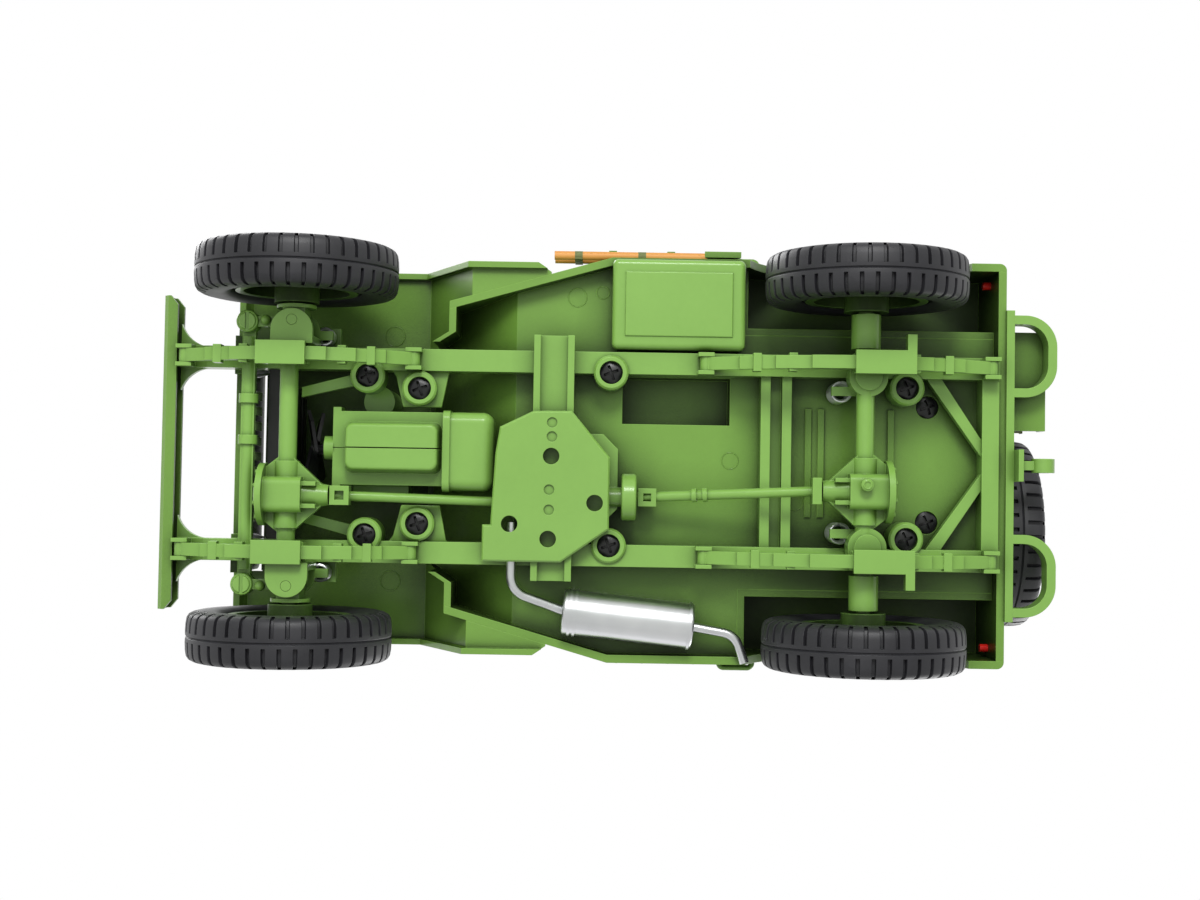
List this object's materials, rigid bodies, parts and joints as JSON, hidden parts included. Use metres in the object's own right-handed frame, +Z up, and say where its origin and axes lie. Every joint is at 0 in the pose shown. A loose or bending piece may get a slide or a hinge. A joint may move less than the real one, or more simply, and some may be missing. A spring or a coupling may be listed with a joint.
{
  "type": "scale model of an open army 4x4 car",
  "caption": "Green scale model of an open army 4x4 car with turning and steered wheels, an opening hood and a folding windshield",
  "frame": {"origin": "middle of the car on the surface it stands on, under the centre of its outline", "axes": "X across with +X at the car's left, the front faces -Y, +Z up"},
  "size_m": [0.088, 0.1804, 0.088],
  "materials": {
    "green_paint": "satin paint on a die-cast and moulded model",
    "dark_green_plastic": "moulded plastic in the same green, a little duller",
    "tyre_rubber": "matt black moulded rubber",
    "bright_metal": "bright plated plastic",
    "spring_steel": "bare wire",
    "black_plastic": "matt black moulded plastic",
    "seat_plastic": "olive moulded plastic with a cloth-like grain",
    "handle_wood": "orange-tan painted wood look",
    "red_lens": "clear red plastic",
    "clear_lens": "clear plastic"
  },
  "bodies": {
    "chassis": {"frame_rails": "dark_green_plastic", "rear_crossmembers": "dark_green_plastic", "rear_braces": "dark_green_plastic", "gearbox_crossmember": "dark_green_plastic", "skid_plate": "dark_green_plastic", "front_bumper": "green_paint", "rear_bumperettes": "green_paint", "pintle_hook": "green_paint", "leaf_springs": "dark_green_plastic", "front_axle": "dark_green_plastic", "rear_axle": "dark_green_plastic", "drive_shafts": "dark_green_plastic", "transfer_case": "dark_green_plastic", "engine": "dark_green_plastic", "fuel_tank": "dark_green_plastic", "floor_pan": "green_paint", "body_sides": "green_paint", "rear_panel": "green_paint", "wheel_houses": "green_paint", "cowl": "green_paint", "fenders": "green_paint", "grille": "green_paint", "headlamps": "green_paint", "rear_carriers": "green_paint", "jerry_can": "green_paint", "side_fittings": "green_paint", "spare_wheel": "green_paint", "spare_tyre": "tyre_rubber", "coil_springs": "spring_steel", "cooling_fan": "black_plastic", "radiator": "black_plastic", "exhaust": "bright_metal", "lamp_lenses": "clear_lens", "tail_lamps": "red_lens", "front_seats": "seat_plastic", "rear_seat": "seat_plastic", "steering_wheel": "black_plastic", "tool_handles": "handle_wood", "tool_heads": "green_paint"},
    "hood_lid": {"hood": "green_paint"},
    "windshield": {"windshield_frame": "green_paint", "windshield_glass": "clear_lens"},
    "steer_left": {"knuckle_left": "dark_green_plastic"},
    "steer_right": {"knuckle_right": "dark_green_plastic"},
    "steer_link": {"tie_rod": "dark_green_plastic"},
    "road_wheel_front_left": {"tyre_front_left": "tyre_rubber", "wheel_front_left": "green_paint"},
    "road_wheel_front_right": {"tyre_front_right": "tyre_rubber", "wheel_front_right": "green_paint"},
    "road_wheel_rear_left": {"tyre_rear_left": "tyre_rubber", "wheel_rear_left": "green_paint"},
    "road_wheel_rear_right": {"tyre_rear_right": "tyre_rubber", "wheel_rear_right": "green_paint"}
  },
  "joints": [
    {"name": "steering_left", "type": "hinge", "parent": "chassis", "child": "steer_left", "pos_m": [0.026, -0.0626, 0.02], "axis": [0, 0, 1], "range_deg": [-22, 22]},
    {"name": "steering_right", "type": "hinge", "parent": "chassis", "child": "steer_right", "pos_m": [-0.026, -0.0626, 0.02], "axis": [0, 0, 1], "range_deg": [-22, 22]},
    {"name": "steering_link", "type": "hinge", "parent": "steer_left", "child": "steer_link", "pos_m": [0.026, -0.0722, 0.0221], "axis": [0, 0, 1], "range_deg": [-22, 22]},
    {"name": "hood_hinge", "type": "hinge", "parent": "chassis", "child": "hood_lid", "pos_m": [0, -0.0333, 0.056], "axis": [-1, 0, 0], "range_deg": [0, 80]},
    {"name": "windshield_fold", "type": "hinge", "parent": "chassis", "child": "windshield", "pos_m": [0, -0.0304, 0.0574], "axis": [-1, 0, 0], "range_deg": [-90, 0]},
    {"name": "front_left_spin", "type": "hinge", "parent": "steer_left", "child": "road_wheel_front_left", "pos_m": [0.036, -0.0626, 0.02], "axis": [1, 0, 0], "continuous": true},
    {"name": "front_right_spin", "type": "hinge", "parent": "steer_right", "child": "road_wheel_front_right", "pos_m": [-0.036, -0.0626, 0.02], "axis": [1, 0, 0], "continuous": true},
    {"name": "rear_left_spin", "type": "hinge", "parent": "chassis", "child": "road_wheel_rear_left", "pos_m": [0.036, 0.0504, 0.02], "axis": [1, 0, 0], "continuous": true},
    {"name": "rear_right_spin", "type": "hinge", "parent": "chassis", "child": "road_wheel_rear_right", "pos_m": [-0.036, 0.0504, 0.02], "axis": [1, 0, 0], "continuous": true}
  ],
  "couplings": [
    {"joint": "steering_right", "follows": "steering_left", "ratio": 1},
    {"joint": "steering_link", "follows": "steering_left", "ratio": -1}
  ]
}
